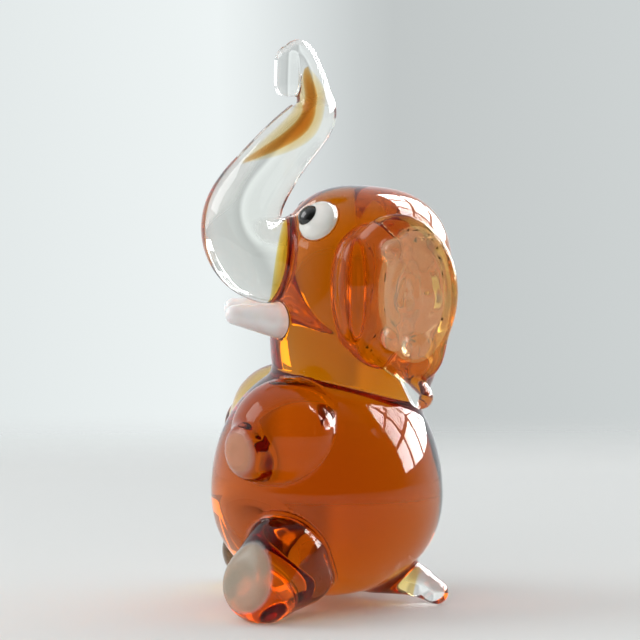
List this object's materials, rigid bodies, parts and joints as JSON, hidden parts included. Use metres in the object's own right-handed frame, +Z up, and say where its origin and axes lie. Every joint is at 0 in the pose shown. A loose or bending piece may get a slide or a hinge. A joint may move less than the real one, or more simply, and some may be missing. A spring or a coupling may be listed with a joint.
{
  "type": "glass elephant figurine",
  "caption": "Small seated elephant worked from solid amber glass, with a raised clear trunk, clear ear inserts and milky tusks, standing on its hind feet and tail.",
  "frame": {"origin": "on the surface that the figurine stands on, under the axis of the torso, at the middle of its outline", "axes": "+Z up; the animal faces -Y and its left side is +X"},
  "size_m": [0.0368, 0.0314, 0.0707],
  "materials": {
    "amber_glass": "fire-polished, clear amber",
    "clear_glass": "fire-polished, clear",
    "amber_cane": "amber cane cased in clear glass",
    "milk_glass": "milky, slightly pink, fire-polished",
    "white_glass": "opaque white, fire-polished",
    "black_glass": "opaque black, fire-polished"
  },
  "bodies": {
    "root": {"torso": "amber_glass", "head": "amber_glass", "trunk": "clear_glass", "trunk_streak": "amber_cane", "tail": "amber_glass", "tail_tip": "clear_glass", "left_foreleg": "amber_glass", "left_hindleg": "amber_glass", "left_ear": "amber_glass", "left_ear_insert": "clear_glass", "left_ear_tip": "clear_glass", "left_tusk": "milk_glass", "left_eye": "white_glass", "left_pupil": "black_glass", "right_foreleg": "amber_glass", "right_hindleg": "amber_glass", "right_ear": "amber_glass", "right_ear_insert": "clear_glass", "right_ear_tip": "clear_glass", "right_tusk": "milk_glass", "right_eye": "white_glass", "right_pupil": "black_glass"}
  },
  "joints": []
}
